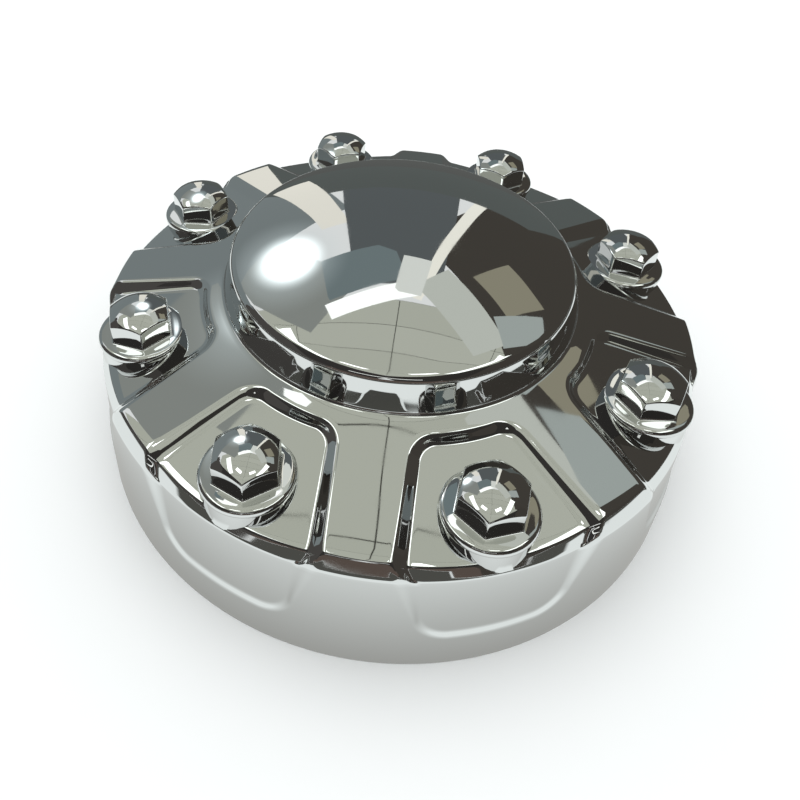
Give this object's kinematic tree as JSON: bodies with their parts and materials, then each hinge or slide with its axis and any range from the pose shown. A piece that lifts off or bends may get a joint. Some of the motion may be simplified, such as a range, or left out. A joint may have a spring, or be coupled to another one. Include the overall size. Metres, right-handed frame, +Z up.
{
  "type": "wheel center cap",
  "caption": "Round chrome-plated wheel center cap with a domed middle on a collar, sloped spokes, recessed pockets with moulded lug-nut shapes, and a deep skirt open below",
  "frame": {"origin": "centre of the open rim, on the plane that the skirt stands on", "axes": "+Z up along the cap's axis to the dome, -Y to the front of the picture along one spoke, +X to its right"},
  "size_m": [0.25, 0.25, 0.101],
  "materials": {
    "plating": "bright chrome plating on moulded plastic"
  },
  "bodies": {
    "root": {"center_cap": "plating"}
  },
  "joints": []
}
